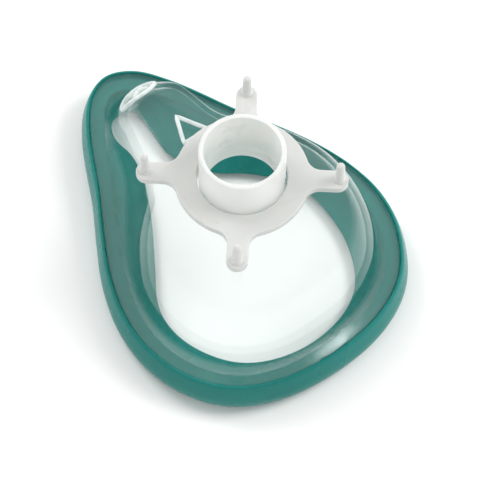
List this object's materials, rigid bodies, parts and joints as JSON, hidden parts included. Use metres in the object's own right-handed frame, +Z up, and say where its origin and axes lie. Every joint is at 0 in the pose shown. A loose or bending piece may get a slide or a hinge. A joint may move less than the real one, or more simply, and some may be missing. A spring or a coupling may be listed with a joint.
{
  "type": "resuscitation face mask",
  "caption": "Pear-shaped clear face mask with a translucent green soft seal, a 22 mm breathing socket on top and a turning hook ring with pegged arms.",
  "frame": {"origin": "middle of the footprint, on the surface that the seal rests on", "axes": "+Z up along the connector's axis, +Y to the nose end, +X to the right of the nose"},
  "size_m": [0.0948, 0.1268, 0.0664],
  "materials": {
    "clear_shell": "clear gloss",
    "milky_tube": "natural satin gloss",
    "soft_seal": "translucent satin",
    "milky_ring": "natural satin gloss"
  },
  "bodies": {
    "mask": {"face_shell": "clear_shell", "connector_22f": "milky_tube", "face_seal": "soft_seal"},
    "ring": {"hook_ring": "milky_ring"}
  },
  "joints": [
    {"name": "hook_ring_turn", "type": "hinge", "parent": "mask", "child": "ring", "pos_m": [0, -0.013, 0.0515], "axis": [0, 0, 1], "continuous": true}
  ]
}
